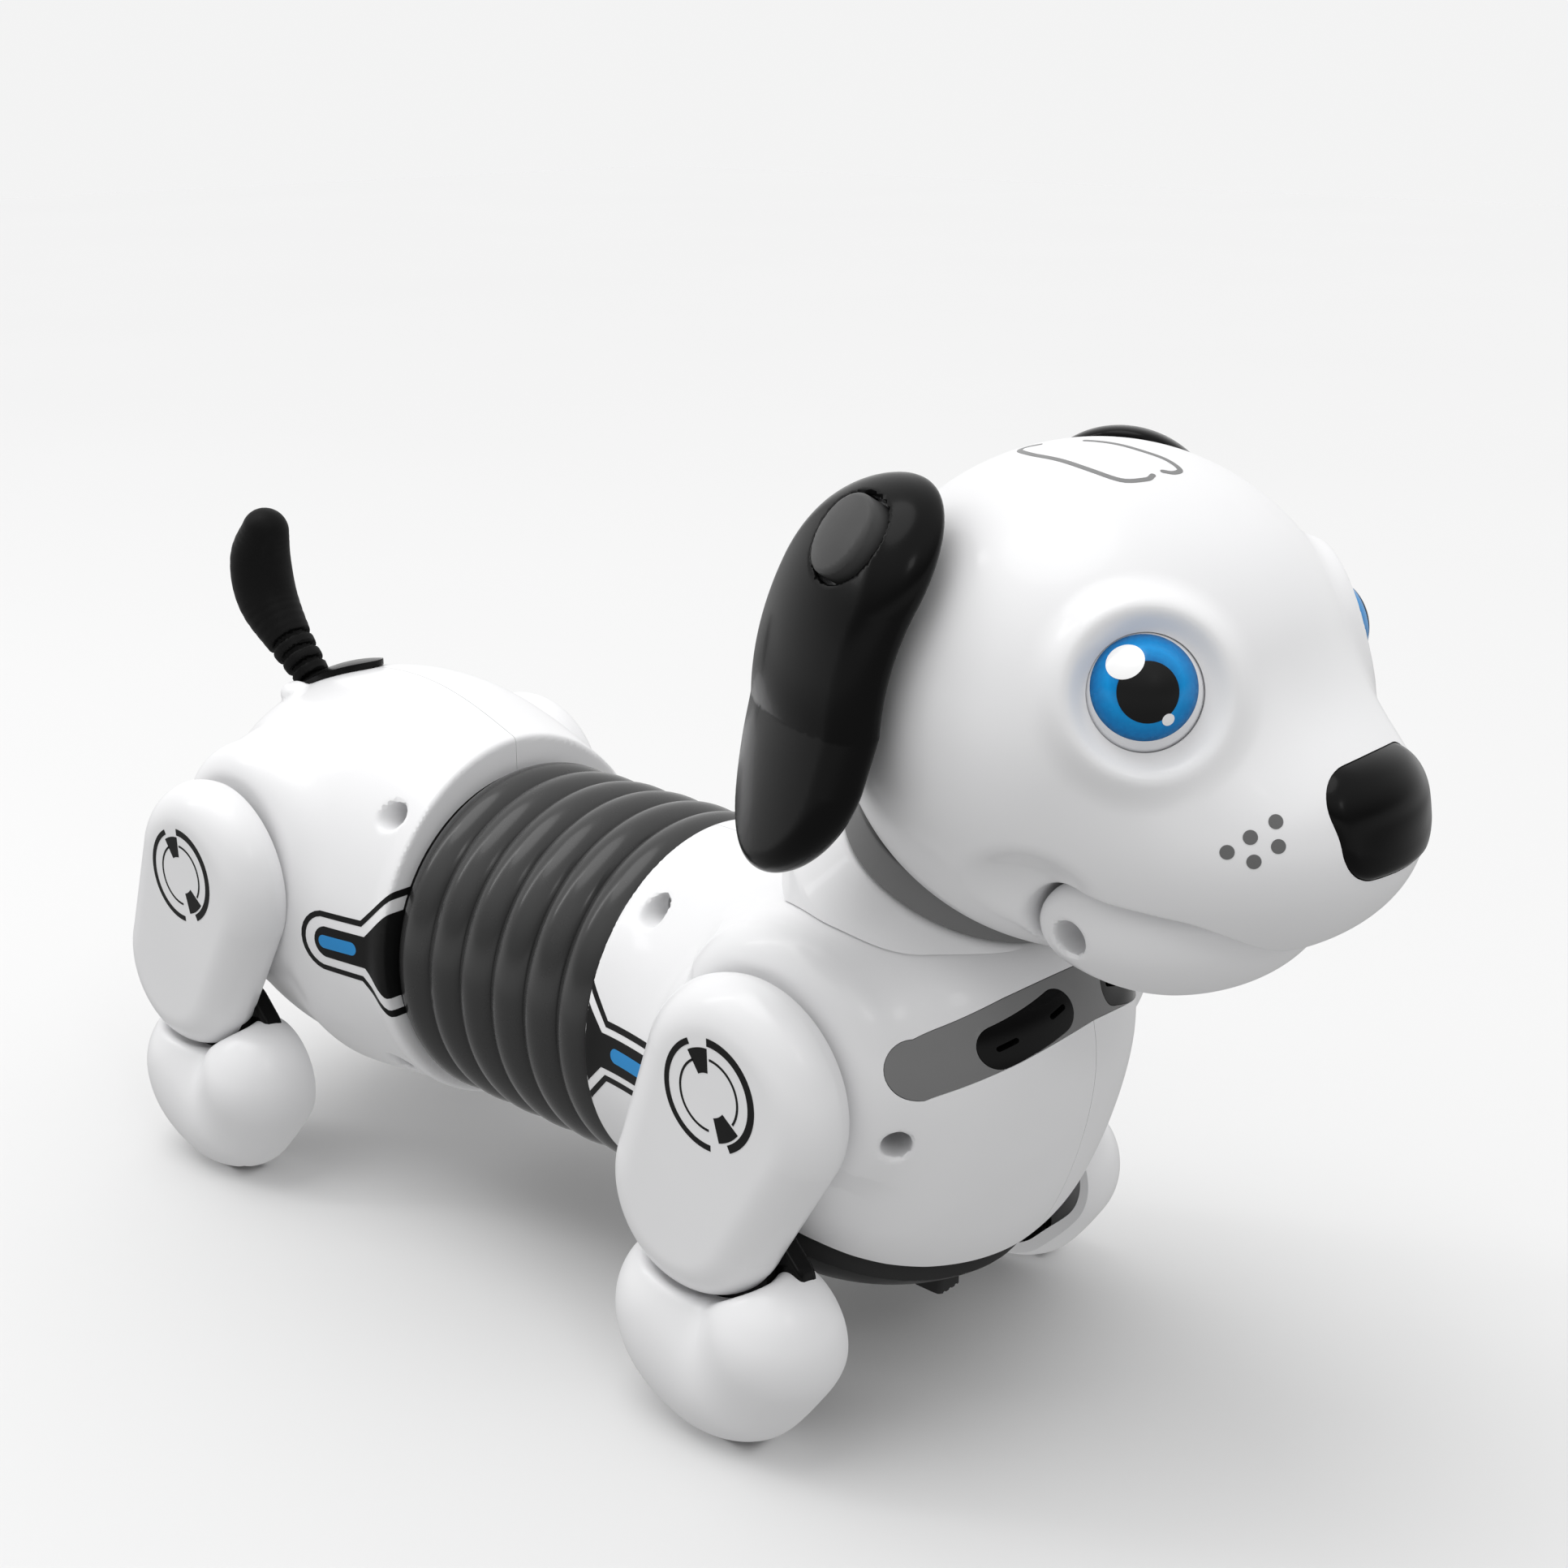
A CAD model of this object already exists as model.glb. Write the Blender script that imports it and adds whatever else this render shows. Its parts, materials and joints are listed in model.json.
"""Looks of the robot dog toy: shells, graphics, materials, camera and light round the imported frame.

Lengths are millimetres in the drawing frame of the part, whose X runs MIDDLE_X ahead of the
model's. finish_piece scales each piece to metres and shifts it into the model's frame.
"""

import json
import math

import bmesh
import bpy
import numpy as np
import openvdb
from mathutils import Matrix, Vector


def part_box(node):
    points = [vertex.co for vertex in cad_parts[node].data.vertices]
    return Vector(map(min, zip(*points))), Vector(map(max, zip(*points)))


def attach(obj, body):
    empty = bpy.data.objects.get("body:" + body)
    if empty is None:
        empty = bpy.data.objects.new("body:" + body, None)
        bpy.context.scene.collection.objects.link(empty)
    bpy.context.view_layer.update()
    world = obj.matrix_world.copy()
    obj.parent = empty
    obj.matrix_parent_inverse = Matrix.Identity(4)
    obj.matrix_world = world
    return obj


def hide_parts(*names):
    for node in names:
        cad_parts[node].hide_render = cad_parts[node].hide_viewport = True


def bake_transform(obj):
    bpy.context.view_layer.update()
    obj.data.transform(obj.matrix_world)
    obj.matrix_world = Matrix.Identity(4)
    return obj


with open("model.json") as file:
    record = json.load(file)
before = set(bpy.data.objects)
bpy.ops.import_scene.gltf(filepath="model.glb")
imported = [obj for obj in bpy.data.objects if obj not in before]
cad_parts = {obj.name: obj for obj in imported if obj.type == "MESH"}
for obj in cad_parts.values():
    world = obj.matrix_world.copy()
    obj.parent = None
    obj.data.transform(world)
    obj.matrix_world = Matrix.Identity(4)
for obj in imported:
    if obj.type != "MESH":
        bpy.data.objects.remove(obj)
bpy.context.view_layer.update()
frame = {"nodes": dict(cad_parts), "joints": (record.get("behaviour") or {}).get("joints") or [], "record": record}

MM = 0.001
MIDDLE_X = 1.8
JOINTS = {joint["name"]: joint for joint in frame["joints"]}


def drawing(point):
    """A point of the model, in metres, as drawing millimetres."""
    return np.array(point) / MM + np.array([MIDDLE_X, 0, 0])


def joint_place(name):
    return drawing(JOINTS[name]["pos_m"])


def box_of(node):
    """The box of a CAD node in drawing millimetres."""
    low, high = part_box(node)
    return drawing(low), drawing(high)


# Places that the frame gives

ENDS = ("front", "rear")
SIDES = {"right": -1, "left": 1}
LEG_X = {end: joint_place(f"leg_{end}_right_swing")[0] for end in ENDS}
LEG_Z = joint_place("leg_front_right_swing")[2]
ROLLER = {end: joint_place(f"roller_{end}_right_spin") for end in ENDS}
AXIS_Z = joint_place("waist_bend")[2]
NECK = joint_place("head_turn")
NECK_AXIS = np.array(JOINTS["head_turn"]["axis"]) / np.linalg.norm(JOINTS["head_turn"]["axis"])
JAW = joint_place("jaw_open")
EAR_AXIS = np.array(JOINTS["ear_left_swing"]["axis"])
REAR_EDGE_X, FRONT_EDGE_X = box_of("rear_shell_right")[1][0], box_of("front_shell_right")[0][0]
SOLE_Z = box_of("foot_front_right")[0][2]
LEG_INNER_Y = -box_of("thigh_front_right")[1][1]
LEG_OUTER_Y = -box_of("thigh_front_right")[0][1]
FOOT_INNER_Y = -box_of("foot_front_right")[1][1]

# Sizes of the finish

WALL = 2.0
FOOT_WALL = 1.5
THIN_WALL = 1.6
SEAM = 0.06
SHUT_LINE = 0.15
INK = 0.06
FINE = 0.8
HIDDEN = FINE * 1.7
SMALL = 0.55
BORE_R = 2.4
AXLE_BORE_R = 2.6
HEAD_CENTRE = np.array([83.0, 0.0, 124.0])
HEAD_SEAM_X = 63.0
EYE_R = 8.3
EYE_SOCKET_R = EYE_R - 0.4
EYE_PLACE = np.array([108.7, 26.0, 133.6])
EYE_OUT = (EYE_PLACE - HEAD_CENTRE) / np.linalg.norm(EYE_PLACE - HEAD_CENTRE)
EYE_BALL = EYE_PLACE - 5.0 * EYE_OUT
EAR_CENTRE = np.array([79.0, -2.25, 124.0])
EAR_SHEET_R = 45.7
EAR_TURN = math.radians(28)
CHEEK = ((96.0, 35.0, 99.0), (11.5, 9.0, 10.5))
BELLOWS_R = 30.4
BELLOWS_SWELL = 2.3
BELLOWS_WALL = 1.1
CRESTS = 6
HATCH_SCREW_X = -63
HATCH_HALF_Y = 13


# Fields: negative inside, zero on the surface, about the distance near it


def ellipsoid(p, centre, semi):
    q = (p - np.array(centre)) / np.array(semi)
    near = np.linalg.norm(q, axis=1)
    far = np.linalg.norm(q / np.array(semi), axis=1)
    return near * (near - 1) / np.maximum(far, 1e-9)


def blend_union(a, b, soft):
    mix = np.clip(0.5 + 0.5 * (b - a) / soft, 0, 1)
    return b + (a - b) * mix - soft * mix * (1 - mix)


def blend_cut(a, b, soft):
    return -blend_union(-a, b, soft)


def blend_keep(a, b, soft):
    return -blend_union(-a, -b, soft)


def capsule(p, a, b, radius_a, radius_b):
    """Distance to a bar between two round ends, which may be of unlike size."""
    a, b = np.array(a, float), np.array(b, float)
    share = np.clip((p - a) @ (b - a) / ((b - a) @ (b - a)), 0, 1)
    radius = radius_a + (radius_b - radius_a) * share
    return np.linalg.norm(p - a - share[:, None] * (b - a), axis=1) - radius


def tapered_bar(p, a, b, radius_a, radius_b):
    """The same in the X Z plane alone."""
    return capsule(p[:, [0, 2]], a, b, radius_a, radius_b)


def slab(outline, across, half_depth, rounding):
    """Gives an outline distance a thickness, with its edges rounded."""
    u = outline + rounding
    v = np.abs(across) - half_depth + rounding
    outside = np.hypot(np.maximum(u, 0), np.maximum(v, 0))
    return outside + np.minimum(np.maximum(u, v), 0) - rounding


def drum(p, a, b, radius, rounding):
    """Distance to a cylinder between two points, with rounded edges."""
    a, b = np.array(a, float), np.array(b, float)
    length = np.linalg.norm(b - a)
    way = (b - a) / length
    along = (p - a) @ way
    across = np.linalg.norm(p - a - along[:, None] * way, axis=1)
    return slab(across - radius, along - length / 2, length / 2, rounding)


def tube_along_x(p, radius, start, end, rounding):
    return drum(p, (start, 0, AXIS_Z), (end, 0, AXIS_Z), radius, rounding)


def both_sides(p):
    """The same points folded over to the dog's left."""
    return np.stack([p[:, 0], np.abs(p[:, 1]), p[:, 2]], axis=1)


def front_form(p):
    lower = ellipsoid(p, (43, 0, 50), (40, 36, 34.5))
    upper = ellipsoid(p, (57, 0, 66), (29.5, 33.5, 26))
    chest = blend_union(lower, upper, 10)
    chest = blend_union(chest, tube_along_x(p, 32.6, -30, 36, 2), 10)
    boss = slab(tapered_bar(p, (49, 64), (46, 60), 22, 20), np.abs(p[:, 1]) - 26, 9.2, 6)
    return blend_union(chest, boss, 6)


def rear_form(p):
    rump = ellipsoid(p, (-77, 0, 57), (50, 36.2, 39.5))
    rump = blend_union(rump, tube_along_x(p, 33.0, -72, -10, 2), 10)
    boss = slab(tapered_bar(p, (-89, 64), (-91, 60), 22, 20), np.abs(p[:, 1]) - 26, 8.4, 6)
    return blend_union(rump, boss, 6)


FRONT_BORES = (((80.0, -40.0, 56.5), (64.5, -21.6, 56.5)), ((12.3, -45, 78), (12.3, -16, 75.6)))
REAR_BORES = (((-52.1, -40, 81), (-52.1, -16, 77.5)), ((-54.9, -45, 25), (-54.9, -14, 29)))


def with_bores(p, form, bores):
    for start, end in bores:
        form = blend_cut(form, drum(p, start, end, BORE_R, 0.1), 0.9)
    return form


def front_field(p):
    """The chest with its open waist edge and its soft-edged screw bores."""
    return blend_keep(with_bores(p, front_form(p), FRONT_BORES), FRONT_EDGE_X - p[:, 0], 0.8)


def rear_field(p):
    """The rump, with a rolled lip round the waist end."""
    lip = tube_along_x(p, 34.1, REAR_EDGE_X - 2.6, REAR_EDGE_X, 1.25)
    form = blend_union(rear_form(p), lip, 2.5)
    form = blend_union(form, ellipsoid(both_sides(p), (-101.5, 9.6, 89.4), (3.6, 3.0, 2.6)), 0.8)
    return blend_keep(with_bores(p, form, REAR_BORES), p[:, 0] - REAR_EDGE_X, 0.8)


def inside_of(form, bores, edge_x):
    """The hollow of a body, less the tubes round its screws and the rim round the bellows."""

    def field(p):
        room = form(p) + WALL
        rim = BELLOWS_R + 0.5 - np.hypot(p[:, 1], p[:, 2] - AXIS_Z)
        room = np.maximum(room, -np.maximum(rim, np.abs(p[:, 0] - edge_x) - 2.4))
        for start, end in bores:
            room = np.maximum(room, -drum(p, start, end, BORE_R + 1.8, 0.2))
        return room

    return field


def skull_form(p):
    skull = ellipsoid(p, (83, 0, 122.9), (38, 38, 37.4))
    return blend_union(skull, ellipsoid(p, (103, 0, 111), (31, 28, 21)), 8)


def mouth_room(p):
    """The space under the lip that the jaw sits in and opens through, round about its pivot."""
    shut = tapered_bar(p, (JAW[0], JAW[2]), (112.0, 92.6), 8.3, 9.6)
    wide = tapered_bar(p, (JAW[0], JAW[2]), (111.0, 88.0), 8.3, 10.6)
    return np.minimum(shut, wide)


def head_field(p):
    """The head with its eye craters, its cheek hollows and the cut for the mouth."""
    q = both_sides(p)
    from_eye = q - EYE_PLACE
    depth = from_eye @ EYE_OUT
    off = np.linalg.norm(from_eye - depth[:, None] * EYE_OUT, axis=1)
    rim = np.hypot(off - 10.4, depth + 2.2) - 2.0
    crater = ellipsoid(np.stack([off, 0 * off, depth], axis=1), (0, 0, 1.4), (10.4, 10.4, 4.8))
    head = blend_union(skull_form(p), rim, 4)
    head = blend_cut(head, crater, 2.0)
    head = blend_cut(head, ellipsoid(q, *CHEEK), 2.5)
    return blend_cut(head, mouth_room(p), 0.9)


def jaw_form(p):
    chin = ellipsoid(p, (98, 0, 98), (23, 25.5, 15.5))
    outline = tapered_bar(p, (JAW[0], JAW[2]), (112.4, 91.2), 7.5, 9.8)
    return blend_keep(chin, outline, 2.2)


def jaw_bore(y):
    """A point on the axis of the chin's bore."""
    return (97.3, y, 95.7)


def jaw_field(p):
    return blend_cut(jaw_form(p), drum(p, jaw_bore(-40), jaw_bore(-17), 2.6, 0.1), 1.0)


def nose_field(p):
    broad = ellipsoid(p, (123.8, 0, 116.6), (10.3, 13.2, 7.0))
    wide = np.maximum(np.abs(p[:, 1]) - 6.6, 0)
    outline = np.hypot(wide, np.maximum(np.abs(p[:, 2] - 115.4) - 1.6, 0)) - 5.6
    return blend_union(broad, blend_keep(skull_form(p) - 0.6, outline, 1.5), 2.5)


def ear_field(p):
    """A soft-edged flap that wraps the skull and flares out below, with a seat for its button."""
    q = both_sides(p) - EAR_CENTRE
    out = q[:, 1] + 0.24 * np.minimum(q[:, 2], 0)
    sheet = np.sqrt(q[:, 0] ** 2 + out**2 + np.maximum(q[:, 2], 0) ** 2) - EAR_SHEET_R
    q = q + EAR_CENTRE
    along = q[:, 0] * math.cos(EAR_TURN) + q[:, 1] * math.sin(EAR_TURN)
    unrolled = np.stack([along, q[:, 2]], axis=1)
    outline = capsule(unrolled, (73.3, 142.5), (70.5, 117.8), 15.0, 16.4)
    flap = slab(outline, sheet, 3.5, 3.4)
    seat = drum(q, HEAD_CENTRE + EAR_AXIS * 20, HEAD_CENTRE + EAR_AXIS * 80, 6.9, 0.1)
    return blend_cut(flap, seat, 0.9)


def thigh_form(p, leg_x):
    lean = tapered_bar(p, (leg_x + 1, 62), (leg_x - 8.3, 42), 19.2, 17)
    middle = (LEG_INNER_Y + LEG_OUTER_Y) / 2 - 2
    return slab(lean, np.abs(p[:, 1]) - middle, LEG_OUTER_Y - middle, 7.5)


def foot_form(p, leg_x, reach):
    q = np.stack([p[:, 0] - leg_x - reach, np.abs(p[:, 1]), p[:, 2]], axis=1)
    toe = ellipsoid(q, (5.2, 38, 20.5), (11.8, 11.5, 12.5))
    heel = ellipsoid(q, (-14.5, 37, 17.5), (13, 12, 14))
    sole = ellipsoid(q, (-5.5, 38.5, 11.6), (16.8, 10.6, 12.5))
    foot = blend_union(blend_union(toe, heel, 2.5), sole, 4)
    return blend_cut(foot, thigh_form(p, leg_x) - 1.0, 2)


TAIL = (
    (-106.0, 84.0, 3.0), (-109.5, 90.0, 3.8), (-116.5, 96.5, 4.8),
    (-123.0, 104.0, 6.2), (-124.5, 112.0, 6.2), (-122.0, 118.5, 4.8),
)  # fmt: skip
TAIL_RIBS = 4


def smooth_line(points, count):
    """A smooth curve through a few points, each given with any measures that vary along with it."""
    points = np.array(points, float)
    slopes = np.gradient(points, axis=0)
    at = np.linspace(0, len(points) - 1, count)
    first = np.minimum(at.astype(int), len(points) - 2)
    t = (at - first)[:, None]
    a, b, u, v = points[first], points[first + 1], slopes[first], slopes[first + 1]
    made = (2 * t**3 - 3 * t**2 + 1) * a + (t**3 - 2 * t**2 + t) * u
    return made + ((3 * t**2 - 2 * t**3) * b + (t**3 - t**2) * v)


def tail_field(p):
    """A bent rubber tail, with ribs where it leaves the rump."""
    line = smooth_line(TAIL, 26)
    best = np.full(len(p), 1e9)
    for (x_a, z_a, radius_a), (x_b, z_b, radius_b) in zip(line, line[1:]):
        best = np.minimum(best, capsule(p, (x_a, 0, z_a), (x_b, 0, z_b), radius_a, radius_b))
    run = (p[:, 0] - TAIL[0][0]) * -0.72 + (p[:, 2] - TAIL[0][1]) * 0.69
    for rib in range(TAIL_RIBS):
        groove = np.abs(run - 5.2 - 3.3 * rib) - 0.55
        best = blend_cut(best, np.maximum(groove, -(best + 1.1)), 0.5)
    return best


# Meshes from fields


def gradient(field, points, step=0.04):
    made = np.empty_like(points)
    for axis in range(3):
        offset = np.zeros(3)
        offset[axis] = step
        made[:, axis] = (field(points + offset) - field(points - offset)) / (2 * step)
    return made


def surface(field, low, high, cell):
    """Points and faces of the field's zero surface, sampled finely only near it."""
    cells = 4
    low, high = np.array(low, float), np.array(high, float)
    counts = np.ceil((high - low) / (cell * cells)).astype(int)
    grid = np.indices(counts).reshape(3, -1).T
    coarse = field(low + (grid + 0.5) * cell * cells)
    values = coarse.reshape(counts)
    for axis in range(3):
        values = np.repeat(values, cells, axis=axis)
    near = grid[np.abs(coarse) < 2.2 * cells * cell]
    steps = np.indices((cells,) * 3).reshape(3, -1).T
    fine = (near[:, None, :] * cells + steps[None]).reshape(-1, 3)
    values[tuple(fine.T)] = field(low + (fine + 0.5) * cell)
    tree = openvdb.FloatGrid(background=5.0)
    tree.copyFromArray(values.astype(np.float32))
    points, quads = tree.convertToQuads(isovalue=0.0)
    points = low + (points.astype(float) + 0.5) * cell
    for _ in range(3):
        slope = gradient(field, points)
        move = (field(points) / np.maximum((slope**2).sum(axis=1), 0.05))[:, None] * slope
        reach = np.linalg.norm(move, axis=1, keepdims=True)
        points = points - move * np.minimum(1, 0.35 * cell / np.maximum(reach, 1e-9))
    return points, quads


def new_object(name, data):
    obj = bpy.data.objects.new(name, data)
    bpy.context.scene.collection.objects.link(obj)
    return obj


def sculpt(name, field, low, high, cell, inset=0.0):
    """The field's surface as an object, moved in by inset."""
    points, faces = surface(lambda p: field(p) + inset, low, high, cell)
    mesh = bpy.data.meshes.new(name)
    mesh.from_pydata(points.tolist(), [], faces.tolist())
    return new_object(name, mesh)


def from_bmesh(name, bm):
    bmesh.ops.recalc_face_normals(bm, faces=bm.faces)
    mesh = bpy.data.meshes.new(name)
    bm.to_mesh(mesh)
    bm.free()
    return new_object(name, mesh)


def join_rings(bm, first, second):
    """A band of faces between two rings of as many points."""
    for index in range(len(first)):
        beside = (index + 1) % len(first)
        bm.faces.new([first[index], first[beside], second[beside], second[index]])


def block(low, high):
    bm = bmesh.new()
    bmesh.ops.create_cube(bm, size=1)
    low, high = Vector(low), Vector(high)
    bmesh.ops.scale(bm, verts=bm.verts, vec=high - low)
    bmesh.ops.translate(bm, verts=bm.verts, vec=(low + high) / 2)
    return from_bmesh("block", bm)


def rod(start, end, radius, sides=64):
    start, end = Vector(start), Vector(end)
    along = end - start
    bm = bmesh.new()
    turn = Vector((0, 0, 1)).rotation_difference(along).to_matrix().to_4x4()
    bmesh.ops.create_cone(
        bm, cap_ends=True, segments=sides, radius1=radius, radius2=radius, depth=along.length
    )
    bmesh.ops.transform(bm, matrix=Matrix.Translation((start + end) / 2) @ turn, verts=bm.verts)
    return from_bmesh("rod", bm)


def prism(outline, low, high, axis="Y"):
    """An outline given thickness. Its points are (x, z) for Y, (y, z) for X and (x, y) for Z."""
    order = {"X": (2, 0, 1), "Y": (0, 2, 1), "Z": (0, 1, 2)}[axis]
    bm = bmesh.new()
    rings = []
    for level in (low, high):
        rings.append([bm.verts.new([(a, b, level)[index] for index in order]) for a, b in outline])
    bm.faces.new(rings[0])
    bm.faces.new(rings[1][::-1])
    join_rings(bm, *rings)
    return from_bmesh("prism", bm)


def turned(name, profile, centre, axis, steps=160):
    """A closed ring of (radius, height) points turned about an axis."""
    bm = bmesh.new()
    turn = Vector((0, 0, 1)).rotation_difference(Vector(axis)).to_matrix()
    rings = []
    for step in range(steps):
        angle = 2 * math.pi * step / steps
        ring = []
        for radius, height in profile:
            local = Vector((radius * math.cos(angle), radius * math.sin(angle), height))
            ring.append(bm.verts.new(turn @ local + Vector(centre)))
        rings.append(ring)
    for step in range(steps):
        join_rings(bm, rings[step], rings[(step + 1) % steps])
    return from_bmesh(name, bm)


def rounded(profile, radius, segments=4):
    """The same closed profile with each corner rounded off."""
    made = []
    points = [Vector(point) for point in profile]
    for index, corner in enumerate(points):
        before, after = points[index - 1], points[(index + 1) % len(points)]
        reach = min(radius, (before - corner).length * 0.45, (after - corner).length * 0.45)
        start = corner + (before - corner).normalized() * reach
        end = corner + (after - corner).normalized() * reach
        for step in range(segments + 1):
            t = step / segments
            made.append(tuple(start * (1 - t) ** 2 + corner * 2 * t * (1 - t) + end * t**2))
    return made


def duplicate(obj, name):
    return new_object(name, obj.data.copy())


def discard(*objects):
    for obj in objects:
        bpy.data.objects.remove(obj, do_unlink=True)


def carve(obj, operation, *others):
    """Applies one Boolean after another, and removes the cutters."""
    for other in others:
        modifier = obj.modifiers.new("carve", "BOOLEAN")
        modifier.operation = operation
        modifier.object = other
        modifier.solver = "MANIFOLD"
    bpy.context.view_layer.update()
    evaluated = obj.evaluated_get(bpy.context.evaluated_depsgraph_get())
    made = bpy.data.meshes.new_from_object(evaluated)
    obj.modifiers.clear()
    obj.data = made
    discard(*others)
    return obj


def minus(obj, *others):
    return carve(obj, "DIFFERENCE", *others)


def common(obj, *others):
    return carve(obj, "INTERSECT", *others)


def plus(obj, *others):
    return carve(obj, "UNION", *others)


def shade(mesh, field):
    """Smooth shading; where a face lies on the field's own surface, the normals are the field's."""
    mesh.shade_smooth()
    mesh.set_sharp_from_angle(angle=math.radians(32))
    if field is None:
        return
    points = np.empty(len(mesh.vertices) * 3)
    mesh.vertices.foreach_get("co", points)
    points = points.reshape(-1, 3)
    slope = gradient(field, points)
    slope /= np.maximum(np.linalg.norm(slope, axis=1, keepdims=True), 1e-9)
    corner = np.empty(len(mesh.loops) * 3)
    mesh.corner_normals.foreach_get("vector", corner)
    corner = corner.reshape(-1, 3)
    vertex_of = np.empty(len(mesh.loops), int)
    mesh.loops.foreach_get("vertex_index", vertex_of)
    flat = np.empty(len(mesh.polygons) * 3)
    mesh.polygons.foreach_get("normal", flat)
    totals = np.empty(len(mesh.polygons), int)
    mesh.polygons.foreach_get("loop_total", totals)
    flat = np.repeat(flat.reshape(-1, 3), totals, axis=0)
    slope = slope[vertex_of]
    on_field = (slope * flat).sum(axis=1) > 0.93
    mesh.normals_split_custom_set(np.where(on_field[:, None], slope, corner).tolist())


def finish_piece(obj, name, body, finish, field=None, replaces=(), slot=None, origin=(0, 0, 0)):
    """Shades a piece, puts it in the model's frame, and gives it its body, material and slot."""
    obj.name = name
    shade(obj.data, field)
    obj.data.materials.clear()
    obj.data.materials.append(FINISHES[finish])
    origin = Vector(origin)
    obj.data.transform(Matrix.Scale(MM, 4) @ Matrix.Translation(-origin))
    obj.location = (origin - Vector((MIDDLE_X, 0, 0))) * MM
    slot = slot or SLOTS.get(finish)
    if body:
        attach(obj, body)
    if replaces:
        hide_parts(*replaces)
    return obj


# Materials


class Nodes:
    """A short way to add and link the nodes of a material or a world."""

    def __init__(self, owner):
        owner.use_nodes = True
        self.owner = owner
        self.tree = owner.node_tree

    def add(self, kind, inputs=(), **settings):
        node = self.tree.nodes.new(kind)
        for key, value in settings.items():
            setattr(node, key, value)
        for key, value in dict(inputs).items():
            self.feed(node.inputs[key], value)
        return node

    def feed(self, socket, value):
        if isinstance(value, bpy.types.NodeSocket):
            self.tree.links.new(value, socket)
        else:
            socket.default_value = value

    def noise(self, scale, detail=2.0, roughness=0.5):
        place = self.add("ShaderNodeTexCoord").outputs["Object"]
        settings = {"Vector": place, "Scale": scale, "Detail": detail, "Roughness": roughness}
        return self.add("ShaderNodeTexNoise", settings).outputs["Fac"]

    def spread(self, value, low, high, to_low, to_high, **settings):
        ends = {"From Min": low, "From Max": high, "To Min": to_low, "To Max": to_high}
        node = self.add("ShaderNodeMapRange", {"Value": value, **ends}, **settings)
        return node.outputs["Result"]

    def mix(self, share, a, b):
        node = self.add("ShaderNodeMix", data_type="RGBA")
        for socket, value in ((node.inputs[0], share), (node.inputs[6], a), (node.inputs[7], b)):
            self.feed(socket, value)
        return node.outputs[2]

    def times(self, a, b):
        return self.add("ShaderNodeMath", {0: a, 1: b}, operation="MULTIPLY").outputs[0]

    def dress(self, **values):
        """Feeds sockets of the surface shader, named with _ for each space."""
        for key, value in values.items():
            self.feed(self.tree.nodes["Principled BSDF"].inputs[key.replace("_", " ")], value)

    def bump(self, *layers):
        """Bump from (height, distance in metres, strength), one over another."""
        normal = None
        for height, distance, strength in layers:
            inputs = {"Height": height, "Distance": distance, "Strength": strength}
            if normal:
                inputs["Normal"] = normal
            normal = self.add("ShaderNodeBump", inputs).outputs["Normal"]
        self.dress(Normal=normal)


def new_material(name):
    return Nodes(bpy.data.materials.new(name))


def srgb(*levels):
    """Linear colour from 0 to 255 levels as a picture holds them."""
    made = [level / 255 for level in levels]
    made = [((v + 0.055) / 1.055) ** 2.4 if v > 0.04045 else v / 12.92 for v in made]
    return (*made, 1.0)


def moulded(
    name, colour, worn, rough, coat, grain=0.2, blotch=0.05, metal=0.0, wear=0.25, ior=1.46
):  # fmt: skip
    """Moulded plastic or rubber: slight flow marks, a fine grain, varied gloss and rubbed edges."""
    colour, worn = [srgb(*(v if isinstance(v, tuple) else (v, v, v))) for v in (colour, worn)]
    n = new_material(name)
    n.dress(Metallic=metal, Coat_Weight=coat, Coat_Roughness=0.08, Coat_IOR=ior, IOR=ior)
    flow = n.noise(38, 3.0)
    darker = tuple(v * (1 - blotch) for v in colour[:3]) + (1,)
    base = n.mix(n.spread(flow, 0.35, 0.65, 0, 1), darker, colour)
    edge = n.add("ShaderNodeNewGeometry").outputs["Pointiness"]
    patchy = n.spread(n.noise(420, 3.0), 0.4, 0.65, 0.2, 1)
    rubbed = n.times(n.spread(edge, 0.53, 0.62, 0, wear), patchy)
    gloss = n.spread(n.noise(110, 4.0, 0.6), 0.3, 0.7, rough * 0.85, min(rough * 1.2, 1))
    n.dress(Base_Color=n.mix(rubbed, base, worn), Roughness=gloss)
    n.bump((n.noise(2600), 0.00002, grain), (n.noise(60), 0.00025, 0.06))
    return n.owner


def iris_finish():
    """Printed iris: dark rim, bright body, a darker top and fine spokes."""
    n = new_material("iris_print")
    place = n.add("ShaderNodeTexCoord").outputs["Object"]
    reach = n.add("ShaderNodeVectorMath", {0: place}, operation="LENGTH").outputs["Value"]
    ramp = n.add("ShaderNodeValToRGB", {"Fac": n.spread(reach, 0.0, 0.0086, 0, 1)})
    stops = ramp.color_ramp.elements
    stops[0].position, stops[0].color = 0.3, srgb(4, 92, 158)
    stops[1].position, stops[1].color = 1.0, srgb(6, 52, 92)
    for position, colour in ((0.6, srgb(4, 144, 216)), (0.84, srgb(4, 116, 186))):
        stops.new(position).color = colour
    spokes = n.noise(1500, 3.0)
    tinted = n.mix(n.spread(spokes, 0.4, 0.7, 0, 0.2), ramp.outputs["Color"], srgb(20, 160, 232))
    gloss = n.spread(n.noise(300), 0.3, 0.7, 0.2, 0.3)
    n.dress(Base_Color=tinted, Roughness=gloss, Coat_Weight=0.2, Coat_Roughness=0.03, IOR=1.25)
    n.bump((spokes, 0.00002, 0.15))
    return n.owner


# Each row: name, colour and worn colour as srgb or grey levels, roughness, coat and extras

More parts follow.
